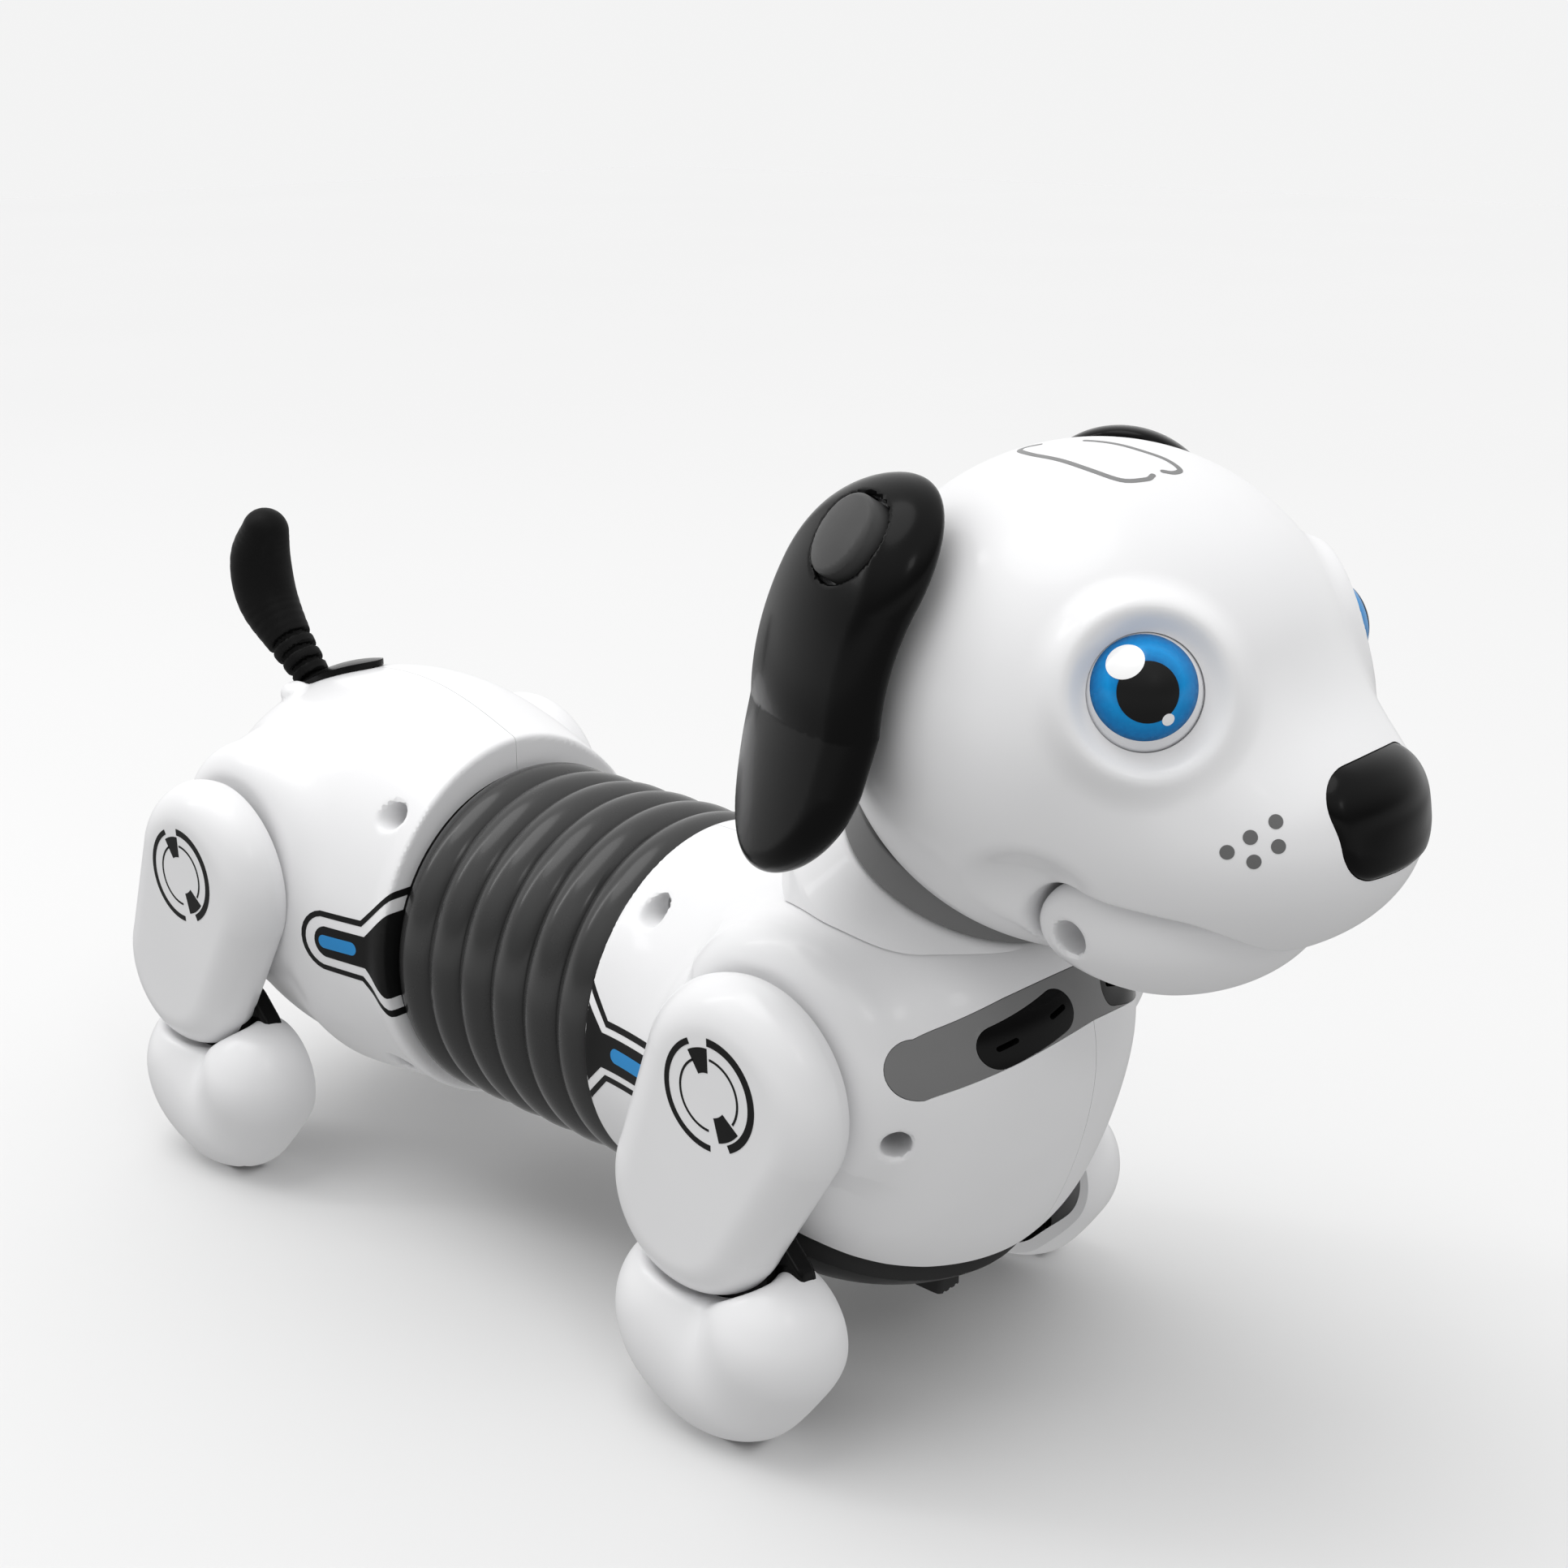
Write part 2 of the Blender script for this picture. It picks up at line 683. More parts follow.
PALETTE = {
    "white": ("white_shell", (243, 243, 244), 250, 0.36, 0.25, {"blotch": 0.02}),
    "eye_white": ("eye_white", (236, 237, 240), 250, 0.12, 1.0, {"blotch": 0.03}),
    "gloss_black": ("gloss_black", 10, 40, 0.22, 0.15, {"grain": 0.12, "blotch": 0.25, "ior": 1.2}),
    "satin_black": ("satin_black", 17, 48, 0.42, 0.0, {"grain": 0.4, "blotch": 0.2, "ior": 1.25}),
    "tail_rubber": ("tail_rubber", 15, 42, 0.5, 0.0, {"grain": 0.6, "blotch": 0.25, "ior": 1.2}),
    "dark_grey": ("dark_grey", 58, 110, 0.2, 0.3, {"blotch": 0.12, "ior": 1.4}),
    "cover_grey": ("cover_grey", 58, 90, 0.42, 0.0, {"blotch": 0.12, "ior": 1.06}),
    "cap_grey": ("cap_grey", 74, 104, 0.42, 0.0, {"blotch": 0.08, "ior": 1.3}),
    "ring_grey": ("ring_grey", 124, 150, 0.42, 0.0, {"blotch": 0.06, "ior": 1.35}),
    "mid_grey": ("mid_grey", 130, 150, 0.42, 0.0, {"blotch": 0.08, "ior": 1.35}),
    "bellows": (
        "bellows_rubber", 52, 70, 0.25, 0.2,
        {"grain": 0.15, "blotch": 0.06, "wear": 0.08, "ior": 1.4},
    ),
    "ink_black": ("ink_black", 24, 50, 0.4, 0.0, {"blotch": 0.15, "wear": 0.0, "ior": 1.25}),
    "ink_grey": ("ink_grey", 112, 128, 0.45, 0.0, {"blotch": 0.1, "wear": 0.0, "ior": 1.35}),
    "ink_pale": ("ink_pale", 138, 150, 0.45, 0.0, {"blotch": 0.1, "wear": 0.0, "ior": 1.35}),
    "ink_blue": (
        "ink_blue", (24, 142, 212), (60, 170, 230), 0.35, 0.1, {"blotch": 0.08, "wear": 0.0},
    ),
    "ink_white": ("ink_white", 252, 255, 0.2, 0.6, {"blotch": 0.01, "wear": 0.0}),
    "window": ("sensor_window", 10, 36, 0.12, 0.3, {"grain": 0.05, "blotch": 0.2, "ior": 1.2}),
    "steel": ("steel", 176, 220, 0.32, 0.0, {"grain": 0.6, "blotch": 0.2, "metal": 1.0}),
    "gear": ("gear_white", (226, 221, 206), 244, 0.48, 0.0, {"grain": 0.4, "blotch": 0.06}),
    "board": ("board_green", (24, 102, 52), (80, 150, 100), 0.35, 0.4, {"blotch": 0.35}),
    "wrap": ("cell_wrap", (38, 74, 150), (90, 120, 180), 0.35, 0.5, {"blotch": 0.15}),
}  # fmt: skip
FINISHES = {"iris": iris_finish()}
for label, (*levels, extra) in PALETTE.items():
    FINISHES[label] = moulded(*levels, **extra)

# The slot of the record that each finish belongs to, and the finish of each slot's CAD shapes

SLOTS = {
    "white": "white_plastic",
    "gloss_black": "black_plastic",
    "satin_black": "black_plastic",
    "window": "black_plastic",
    "cover_grey": "dark_grey_plastic",
    "ring_grey": "dark_grey_plastic",
    "mid_grey": "mid_grey_plastic",
    "cap_grey": "mid_grey_plastic",
    "bellows": "bellows_rubber",
    "tail_rubber": "tail_rubber",
    "eye_white": "eye_blue",
    "steel": "steel",
}
NODE_FINISH = {
    "white_plastic": "white",
    "black_plastic": "satin_black",
    "dark_grey_plastic": "dark_grey",
    "mid_grey_plastic": "mid_grey",
    "bellows_rubber": "bellows",
    "tail_rubber": "tail_rubber",
    "eye_blue": "iris",
    "steel": "steel",
    "gear_white": "gear",
    "board_green": "board",
    "cell_wrap": "wrap",
}


# Body shells


def span(sign, low, high):
    """A range of y on one side of the dog."""
    return sorted((sign * low, sign * high))


def side_block(sign, x_range, y_range, z_range):
    """A block on one side of the dog."""
    return block(*zip(x_range, span(sign, *y_range), z_range))


def band_outline(grow):
    """The chest band seen from the front, as (y, z): it rises to the middle and has round ends."""
    reach, low_z, rise = 27.5, 68.8, 6.6
    ys = np.linspace(-reach, reach, 41)
    middle = low_z + rise * (1 - (ys / reach) ** 2)
    half_height = 4.0 + 0.6 * np.minimum(np.abs(ys) / 15, 1) + grow
    end = half_height[0]
    turns = np.radians(np.linspace(-80, 80, 17))
    top = list(zip(ys, middle + half_height))
    right = [(reach + end * math.cos(a), low_z + end * math.sin(a)) for a in turns[::-1]]
    bottom = list(zip(ys[::-1], (middle - half_height)[::-1]))
    left = [(-reach - end * math.cos(a), low_z + end * math.sin(a)) for a in turns]
    return top + right + bottom + left


def arc(centre, radius, angles):
    return [(centre[0] + radius * math.cos(a), centre[1] + radius * math.sin(a)) for a in angles]


def bar_outline(a, b, radius, segments=16):
    """A bar with round ends between two points of a plane."""
    turns = math.atan2(b[1] - a[1], b[0] - a[0]) + np.radians(np.linspace(-90, 90, segments + 1))
    return arc(b, radius, turns) + arc(a, radius, turns + math.pi)


def window_outline(sign, grow):
    return bar_outline((sign * 7.2, 74.6), (sign * 17.6, 71.4), 3.2 + grow)


def cover_edge(x):
    """The height at which the belly cover meets the white shells: it drops towards both ends."""
    places = (16, 20, 26, 34, 42, 48, 52, 56, 60, 64, 68, 72)
    heights = (24.0, 28.5, 32.5, 35.6, 37.0, 36.6, 35.6, 33.8, 31.6, 29.8, 28.6, 28.2)
    return np.interp(x, places, heights)


def cover_region(grow):
    """The volume under the chest where the belly cover takes over from the white shells."""
    xs = (16 - grow, *range(18, 76, 2), 90)
    return prism([(x, cover_edge(x) + grow) for x in xs] + [(90, -20), (16 - grow, -20)], -60, 60)


def axle_bores(end):
    x = LEG_X[end]
    return [rod((x, y, LEG_Z), (x, 3 * y, LEG_Z), AXLE_BORE_R) for y in (-20, 20)]


def neck_point(along):
    return NECK + NECK_AXIS * along


def shell_halves(end, solid, field):
    """Splits a hollow body at the middle and finishes its two halves."""
    for side, sign in SIDES.items():
        piece = duplicate(solid, f"{end}_{side}")
        common(piece, side_block(sign, (-150, 120), (SEAM, 80), (-20, 140)))
        names = f"{end}_casing_{side}", f"{end}_body"
        finish_piece(piece, *names, "white", field, [f"{end}_shell_{side}"])
    discard(solid)


def screw(name, start, end, body):
    """A countersunk screw with a cross in its head, at the bottom of a bore."""
    start, end = np.array(start, float), np.array(end, float)
    way = (end - start) / np.linalg.norm(end - start)
    seat = end - way * 2.0
    head = [(0.02, 0.0), (1.9, 0.0), (2.1, -0.5), (1.2, -1.6), (1.0, -5.0), (0.02, -5.0)]
    made = turned(name, rounded(head, 0.25), seat, -way, 40)
    across = Vector(way).orthogonal().normalized()
    other = Vector(way).cross(across)
    for long_way, short_way in ((across, other), (other, across)):
        slot = block((-1.4, -0.25, -0.9), (1.4, 0.25, 0.5))
        turn = Matrix((long_way, short_way, long_way.cross(short_way))).transposed().to_4x4()
        slot.data.transform(Matrix.Translation(Vector(seat)) @ turn)
        minus(made, slot)
    return finish_piece(made, name, body, "steel")


def casing_screws(end, bores):
    for index, (start, inner) in enumerate(bores):
        way = np.array(inner) - np.array(start)
        tip = np.array(inner) + 1.6 * way / np.linalg.norm(way)
        screw(f"{end}_casing_screw_{index}", start, tip, f"{end}_body")


def across_chest(outline):
    """The outline, seen from the front, as a block that reaches through the chest's skin."""
    return prism(outline, 50, 105, "X")


def front_body():
    low, high = (-1, -40, 8), (92, 40, 100)
    solid = sculpt("front", front_field, low, high, FINE)
    inside = inside_of(front_form, FRONT_BORES, FRONT_EDGE_X)
    hollow = sculpt("front_hollow", inside, low, high, HIDDEN)
    skin = duplicate(solid, "front_skin")
    neck_hole = rod(neck_point(-22), neck_point(8), 17.5)
    minus(solid, hollow, neck_hole, rod(neck_point(4.7), neck_point(30), 30))
    minus(solid, across_chest(band_outline(0.12)), cover_region(SHUT_LINE), *axle_bores("front"))
    for sign in SIDES.values():
        minus(solid, side_block(sign, (20, 80), (LEG_INNER_Y - 0.25, 60), (20, 90)))
    shell_halves("front", solid, front_field)
    minus(skin, sculpt("front_inner_skin", front_form, low, high, HIDDEN, WALL))
    band = common(duplicate(skin, "band"), across_chest(band_outline(0)))
    for side, sign in SIDES.items():
        minus(band, across_chest(window_outline(sign, 0.1)))
        window = common(duplicate(skin, "window"), across_chest(window_outline(sign, 0)))
        for start, end in (((5.9, 75.0), (8.4, 74.2)), ((15.2, 72.1), (17.9, 71.3))):
            points = [(sign * y, z) for y, z in bar_outline(start, end, 0.42, 6)]
            minus(window, prism(points, 72, 105, "X"))
        names = f"sensor_lens_{side}", "front_body"
        finish_piece(window, *names, "window", front_field, [f"sensor_window_{side}"])
    finish_piece(band, "chest_panel", "front_body", "mid_grey", front_field, ["chest_band"])
    discard(skin)
    casing_screws("front", FRONT_BORES)


def belly_cover():
    """The under-cover, set in along its upper edge, and the knob of the power switch."""

    def field(p):
        below_edge = p[:, 2] - cover_edge(p[:, 0])
        return front_form(p) + np.interp(below_edge, (-5.0, -1.5), (-0.9, 0.8))

    low, high = (8, -40, 8), (92, 40, 50)
    cover = sculpt("cover", field, low, high, FINE)
    hollow = sculpt("cover_hollow", front_form, low, high, HIDDEN, 0.4 + WALL)
    common(cover, cover_region(0))
    minus(cover, hollow, block((52.5, -5.6, 8), (61.5, 5.6, 30)))
    finish_piece(cover, "belly_casing", "front_body", "cover_grey", field, ["belly_cover"])
    knob_low, knob_high = box_of("power_switch")
    middle_x = (knob_low[0] + knob_high[0]) / 2

    def knob_form(p):
        bar = slab(np.abs(p[:, 0] - middle_x) - 2.95, p[:, 1], 2.95, 0.9)
        return np.maximum(bar, knob_low[2] + 0.1 - p[:, 2])

    near, far = middle_x - 5, middle_x + 5
    knob = sculpt("knob", knob_form, (near, -5, knob_low[2] - 1.5), (far, 5, 25.6), SMALL * 0.6)
    common(knob, block((near, -5, knob_low[2] + 0.05), (far, 5, 25.2)))
    for y in (-1.6, 0.0, 1.6):
        minus(knob, rod((near, y, knob_low[2]), (far, y, knob_low[2]), 0.45, 20))
    plate_low, plate_high = knob_low + 0.1, knob_high - 0.1
    plus(knob, block((*plate_low[:2], 24.8), (*plate_high[:2], 26.1)))
    finish_piece(knob, "switch_knob", "power_switch", "cover_grey", None, ["power_switch"])


def rear_body():
    low = (-130, -40, 14)
    solid = sculpt("rear", rear_field, low, (REAR_EDGE_X + 2, 40, 100), FINE)
    inside = inside_of(rear_form, REAR_BORES, REAR_EDGE_X)
    hollow = sculpt("rear_hollow", inside, low, (-30, 40, 100), HIDDEN)
    (start_x, *_), (end_x, *_) = box_of("battery_door")
    skin = duplicate(solid, "rear_skin")
    minus(skin, sculpt("rear_inner_skin", rear_form, low, (-30, 40, 100), HIDDEN, WALL))
    opening_y = HATCH_HALF_Y + SHUT_LINE
    opening = block((start_x - SHUT_LINE, -opening_y, 5), (end_x + SHUT_LINE, opening_y, 22))
    tail_hole = rod((-107, 0, 74), (-107, 0, 100), 5.6)
    minus(solid, hollow, opening, tail_hole, *axle_bores("rear"))
    shell_halves("rear", solid, rear_field)
    hatch = common(skin, block((start_x, -HATCH_HALF_Y, 5), (end_x, HATCH_HALF_Y, 22)))
    for top, radius in ((30, 1.7), (18.9, 3.0)):
        minus(hatch, rod((HATCH_SCREW_X, 0, 5), (HATCH_SCREW_X, 0, top), radius))
    for index in range(5):
        x, z = -88.0 + 1.8 * index, 16.9 + 0.05 * index
        minus(hatch, rod((x, -5, z), (x, 5, z), 0.5, 16))
    finish_piece(hatch, "battery_hatch", "rear_body", "white", rear_form, ["battery_door"])
    fastener = screw("hatch_screw", (HATCH_SCREW_X, 0, 10), (HATCH_SCREW_X, 0, 21.0), "rear_body")
    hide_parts("door_screw")
    casing_screws("rear", REAR_BORES)


# Printed graphics


def ink_skin(field, low, high):
    """A thin skin over a surface, from which graphics are cut."""
    skin = sculpt("ink", field, low, high, FINE, -INK)
    return minus(skin, sculpt("ink_under", field, low, high, FINE, 0.25))


def print_on(skin, name, body, finish, field, region):
    """Cuts the region out of a skin and finishes it as one printed shape."""
    finish_piece(common(duplicate(skin, name), region), name, body, finish, field)


def flared(at, mouth, waist, end):
    """An outline that is wide at the waist edge, narrows at a slant, and ends round."""
    turns = np.radians(np.linspace(80, -80, 13))
    rounding = [at(end - waist + waist * math.cos(a), waist * math.sin(a)) for a in turns]
    narrow = 0.97 * (mouth - waist) - 0.4
    upper = [at(-0.5, mouth), at(-0.4, mouth), at(narrow, waist)]
    lower = [at(narrow, -waist), at(-0.4, -mouth), at(-0.5, -mouth)]
    return upper + rounding + lower


# At each waist edge, the prints' middle height and (mouth, waist, end) of the pad and of the
# stripe's outer and inner edges

SIDE_PRINTS = {
    "front": (53.8, ((8.0, 3.1, 18.6), (11.5, 5.4, 22.5), (10.1, 4.3, 21.4))),
    "rear": (54.8, ((8.6, 3.1, 17.4), (12.6, 6.0, 20.9), (11.2, 4.9, 19.8))),
}


def body_graphics():
    """A flared pad, its outline and a blue bar on each side of both bodies, next to the waist."""
    fields = {"front": (front_field, FRONT_EDGE_X, 1), "rear": (rear_field, REAR_EDGE_X, -1)}
    for end, (field, edge_x, way) in fields.items():
        middle, sizes = SIDE_PRINTS[end]
        body = f"{end}_body"
        low_x, high_x = sorted((edge_x - way * 6.5, edge_x + way * 28))
        skin = ink_skin(field, (low_x, -40, 30), (high_x, 40, 80))

        def at(out, up, e=edge_x, w=way, z=middle):
            return (e + w * out, z + up)

        for side, sign in SIDES.items():
            depth = span(sign, 10, 50)
            bar = bar_outline(at(8.2, 0.1), at(15.0, 0), 1.3)
            pad, outer, inner = [prism(flared(at, *size), *depth) for size in sizes]
            minus(pad, prism(bar, *depth))
            print_on(skin, f"{end}_pad_{side}", body, "ink_black", field, pad)
            print_on(skin, f"{end}_stripe_{side}", body, "ink_black", field, minus(outer, inner))
            print_on(skin, f"{end}_bar_{side}", body, "ink_blue", field, prism(bar, *depth))
        discard(skin)


def sector(centre, inner, outer, first, last, steps):
    """Part of a ring, as an outline."""
    angles = np.radians(np.linspace(first, last, steps))
    return arc(centre, outer, angles) + arc(centre, inner, angles[::-1])


# Neck, waist and tail


def neck():
    collar = [(19.5, 5.0), (21.0, 4.6), (26.2, -3.2), (26.2, -9.0), (18.0, -9.0), (18.0, 5.0)]
    ring = turned("collar", rounded(collar, 0.7), NECK, NECK_AXIS)
    minus(ring, sculpt("collar_seat", front_form, (20, -40, 60), (92, 40, 100), FINE, -0.25))
    finish_piece(ring, "collar_ring", "front_body", "white", None, ["neck_collar"])
    band = [(20.7, 11.0), (20.7, 5.3), (16.2, 5.3), (16.2, 11.0)]
    dark = turned("dark_ring", rounded(band, 0.5), NECK, NECK_AXIS)
    finish_piece(dark, "neck_band", "front_body", "ring_grey", None, ["neck_ring"])


def bellows():
    """Six soft convolutions between the shells, tucked into both, which bend with the waist."""
    (start, *_), (end, *_) = box_of("bellows")
    pitch = (end - start) / CRESTS
    steps = 18
    tuck = 2.2
    outer = [(BELLOWS_R, -tuck)]
    for index in range(CRESTS * steps + 1):
        swell = abs(math.sin(math.pi * index / steps)) ** 0.7
        outer.append((BELLOWS_R + BELLOWS_SWELL * swell, index * pitch / steps))
    outer.append((BELLOWS_R, end - start + tuck))
    inner = [(radius - BELLOWS_WALL, height) for radius, height in outer]
    tube = turned("bellows_new", outer[::-1] + inner, (start, 0, AXIS_Z), (1, 0, 0), 200)
    piece = finish_piece(tube, "bellows_sleeve", None, "bellows", None, ["bellows"])
    low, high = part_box("bellows")
    first, last = (low.x + 0.001, 0, AXIS_Z * MM), (high.x - 0.001, 0, AXIS_Z * MM)
    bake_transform(piece)
    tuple(first)
    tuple(last)


def tail():
    blade = sculpt("blade", tail_field, (-134, -9, 78), (-98, 9, 127), SMALL)
    finish_piece(blade, "tail_blade", "tail", "tail_rubber", tail_field, ["tail"])
    turns = np.linspace(0, 2 * math.pi, 72, endpoint=False)
    outline = list(zip(-100.5 + 13.5 * np.cos(turns), (6.8 - 1.2 * np.cos(turns)) * np.sin(turns)))

    def leaf_top(p):
        """Domed to nothing at the rim of the leaf."""
        off = np.hypot((p[:, 0] + 98.5) / 16.3, p[:, 1] / 7.6)
        return rear_form(p) - 0.5 - 1.3 * np.clip(1 - off**2, 0, 1) ** 0.5

    leaf = sculpt("leaf", leaf_top, (-118, -12, 70), (-80, 12, 104), SMALL)
    minus(leaf, sculpt("leaf_under", rear_form, (-118, -13, 70), (-79, 13, 104), SMALL, -0.2))
    common(leaf, prism(outline, 70, 110, "Z"))
    minus(leaf, rod((-108.2, 0, 74), (-108.2, 0, 110), 5.2))
    finish_piece(leaf, "tail_leaf", "rear_body", "gloss_black", leaf_top, ["tail_base"])


# Head


def eye_ways(sign):
    """The way an eye looks, the way across it towards the nose, and up."""
    around, lift = math.radians(57), math.radians(16)
    level = Vector((math.cos(around), sign * math.sin(around), 0))
    forward = Vector((math.sin(around), -sign * math.cos(around), 0))
    upright = Vector((0, 0, 1))
    gaze = level * math.cos(lift) + upright * math.sin(lift)
    return gaze, forward, upright * math.cos(lift) - level * math.sin(lift)


def eye_cap(name, sign, centre, offset, radius, proud, finish):
    """A round print on the eyeball: a spherical cap with its edge wrapped into the ball."""
    gaze, forward, up = eye_ways(sign)
    right, high = offset
    depth = math.sqrt(EYE_R**2 - right**2 - high**2)
    pole = (gaze * depth + forward * right + up * high).normalized()
    side = pole.orthogonal().normalized()
    other = pole.cross(side)
    limit = math.asin(radius / EYE_R)
    turns = np.linspace(0, 2 * math.pi, 72, endpoint=False)
    ring = [side * math.cos(turn) + other * math.sin(turn) for turn in turns]
    levels = [(EYE_R + proud, share) for share in np.linspace(0.04, 1, 16)] + [(EYE_R - 0.2, 1.0)]
    bm = bmesh.new()
    rings = []
    for reach, share in levels:
        angle = limit * share
        points = [pole * math.cos(angle) + way * math.sin(angle) for way in ring]
        rings.append([bm.verts.new(Vector(centre) + point * reach) for point in points])
    for first, second in zip(rings, rings[1:]):
        join_rings(bm, first, second)
    bm.faces.new(rings[0])
    bm.faces.new(rings[-1])
    top = Vector(centre) + pole * EYE_R
    finish_piece(from_bmesh(name, bm), name, "head", finish, None, (), "eye_blue", tuple(top))


def eyes():
    for side, sign in SIDES.items():
        centre = EYE_BALL * np.array([1, sign, 1])

        def ball_form(p, c=centre):
            return np.linalg.norm(p - c, axis=1) - EYE_R

        ball = sculpt("ball", ball_form, centre - 9.5, centre + 9.5, SMALL)
        finish_piece(ball, f"eyeball_{side}", "head", "eye_white", ball_form, [f"eye_{side}"])
        eye_cap(f"iris_{side}", sign, centre, (0.7, 1.1), 7.0, 0.04, "iris")
        eye_cap(f"pupil_{side}", sign, centre, (0.95, 0.0), 4.0, 0.08, "ink_black")
        eye_cap(f"glint_{side}", sign, centre, (-2.3, 3.9), 2.55, 0.12, "ink_white")
        eye_cap(f"small_glint_{side}", sign, centre, (3.6, -3.4), 0.85, 0.12, "ink_white")


def head():
    low, high = (40, -42, 80), (140, 42, 166)
    nose_low, nose_high = (110, -16, 100), (137, 16, 128)
    solid = sculpt("skull", head_field, low, high, FINE)

    def hollow_field(p):
        room = np.maximum(skull_form(p) + WALL, THIN_WALL - mouth_room(p))
        return np.maximum(room, THIN_WALL - ellipsoid(both_sides(p), *CHEEK))

    hollow = sculpt("skull_hollow", hollow_field, low, high, HIDDEN)
    minus(solid, hollow, rod(neck_point(-5), neck_point(14), 21.3, 96))
    for sign in SIDES.values():
        centre, out = [vector * np.array([1, sign, 1]) for vector in (EYE_PLACE, EYE_OUT)]
        minus(solid, rod(centre - out * 9, centre + out * 9, EYE_SOCKET_R, 96))
    minus(solid, sculpt("nose_seat", nose_field, nose_low, nose_high, SMALL, -0.12))
    back = duplicate(solid, "back")
    common(back, block((20, -70, 60), (HEAD_SEAM_X - 0.05, 70, 190)))
    minus(solid, block((20, -70, 60), (HEAD_SEAM_X + 0.05, 70, 190)))
    finish_piece(solid, "head_front_casing", "head", "white", head_field, ["head_face"])
    finish_piece(back, "head_back_casing", "head", "white", head_field, ["head_back"])
    nose = sculpt("nose_new", nose_field, nose_low, nose_high, SMALL)
    common(nose, block((118.5, -20, 90), (150, 20, 140)))
    finish_piece(nose, "nose_cap", "head", "gloss_black", nose_field, ["nose"])
    jaw()
    face_prints()


def jaw():
    low, high = (84, -30, 76), (126, 30, 108)
    solid = sculpt("chin", jaw_field, low, high, SMALL * 1.3)
    hollow = sculpt("chin_hollow", jaw_form, low, high, FINE * 1.5, 2.2)
    for sign in SIDES.values():
        minus(hollow, rod(jaw_bore(sign * 10), jaw_bore(sign * 30), 4.6))
    minus(solid, hollow, block((84, -14, 96), (116, 14, 110)))
    finish_piece(solid, "chin", "jaw", "white", jaw_field, ["jaw"])


def ribbon(points, half_width):
    """The outline of an even stroke, with round ends, along points of a plane."""
    slope = np.gradient(points, axis=0)
    way = slope / np.linalg.norm(slope, axis=1)[:, None]
    normal = np.column_stack([-way[:, 1], way[:, 0]])
    turns = np.linspace(0, math.pi, 7)[1:-1, None]

    def cap(centre, start, away):
        return centre + half_width * (start * np.cos(turns) + away * np.sin(turns))

    left, right = points + normal * half_width, (points - normal * half_width)[::-1]
    ends = cap(points[-1], normal[-1], way[-1]), cap(points[0], -normal[0], -way[0])
    return np.vstack([left, ends[0], right, ends[1]]).tolist()


WHISKER_DOTS = (
    (124.1, 18.3, 117.5), (122.1, 21.0, 115.6), (120.0, 23.0, 113.6),
    (125.1, 18.9, 114.5), (123.0, 21.2, 112.5),
)  # fmt: skip
CROWN_LINES = (
    (
        (74.6, -3.9), (72.4, -4.6), (73.3, -6.8), (77.5, -9.4), (83.0, -10.7),
        (88.5, -11.4), (93.2, -10.9), (95.4, -8.2), (95.4, -6.6),
    ),
    (
        (81.0, -1.9), (85.6, -1.3), (89.8, -1.1), (93.6, -0.6), (96.4, -1.4),
        (96.6, -3.2), (95.6, -4.4),
    ),
)  # fmt: skip


def face_prints():
    """Whisker dots beside the nose and a line drawing on the crown."""
    skin = ink_skin(head_field, (112, -28, 106), (136, 28, 124))
    for side, sign in SIDES.items():
        for index, dot in enumerate(WHISKER_DOTS):
            place = np.array(dot) * np.array([1, sign, 1])
            out = gradient(head_field, place[None])[0]
            out /= np.linalg.norm(out)
            region = rod(place - out * 3, place + out * 3, 0.98, 40)
            print_on(skin, f"whisker_dot_{side}_{index}", "head", "ink_grey", head_field, region)
    crown = ink_skin(skull_form, (66, -20, 150), (104, 6, 165))
    for index, line in enumerate(CROWN_LINES):
        region = prism(ribbon(smooth_line(line, 48), 0.4), 140, 175, "Z")
        print_on(crown, f"crown_line_{index}", "head", "ink_pale", skull_form, region)
    discard(skin, crown)


def ears():
    """Two hanging flaps and the buttons that they swing about."""
    for side, sign in SIDES.items():
        mirror = np.array([1, sign, 1])

        def on_axis(reach, m=mirror):
            return (HEAD_CENTRE + EAR_AXIS * reach) * m

        def dome(p, m=mirror):
            q = p * m - HEAD_CENTRE
            reach = q @ EAR_AXIS
            off = np.linalg.norm(q - reach[:, None] * EAR_AXIS, axis=1)
            return slab(off - 6.25, reach - 43.6, 6.7 - 0.022 * off**2, 0.7)

        low, high = span(sign, 16, 53)
        flap = sculpt("flap", ear_field, (44, low, 97), (92, high, 162), SMALL * 1.2)
        minus(flap, rod(on_axis(20), on_axis(70), 6.5, 96))
        names = f"ear_flap_{side}", f"ear_{side}"
        finish_piece(flap, *names, "gloss_black", ear_field, [f"ear_{side}"])
        middle = on_axis(44)
        cap = sculpt("cap", dome, middle - 11, middle + 11, SMALL)
        minus(cap, sculpt("cap_seat", skull_form, middle - 14, middle + 14, FINE, -0.1))
        finish_piece(cap, f"ear_button_{side}", "head", "cap_grey", dome, [f"ear_cap_{side}"])


# Legs


def legs():
    for end in ENDS:
        leg_x, roller_x = LEG_X[end], ROLLER[end][0]

        def thigh(p, x=leg_x):
            return thigh_form(p, x)

        def foot(p, x=leg_x, reach=roller_x - leg_x + 3):
            return foot_form(p, x, reach)

        for side, sign in SIDES.items():
            leg = f"{end}_{side}"
            thigh_piece(leg, sign, leg_x, thigh)
            foot_piece(leg, sign, leg_x, roller_x, foot)
            ankle_piece(leg, sign, leg_x)
            roller_piece(leg, sign, ROLLER[end])


def frame_notch(sign, leg_x):
    """The room for the CAD leg frame between thigh and foot."""
    return side_block(sign, (leg_x - 10.5, leg_x + 5.5), (LEG_INNER_Y - 1.3, 40.45), (11, 40))


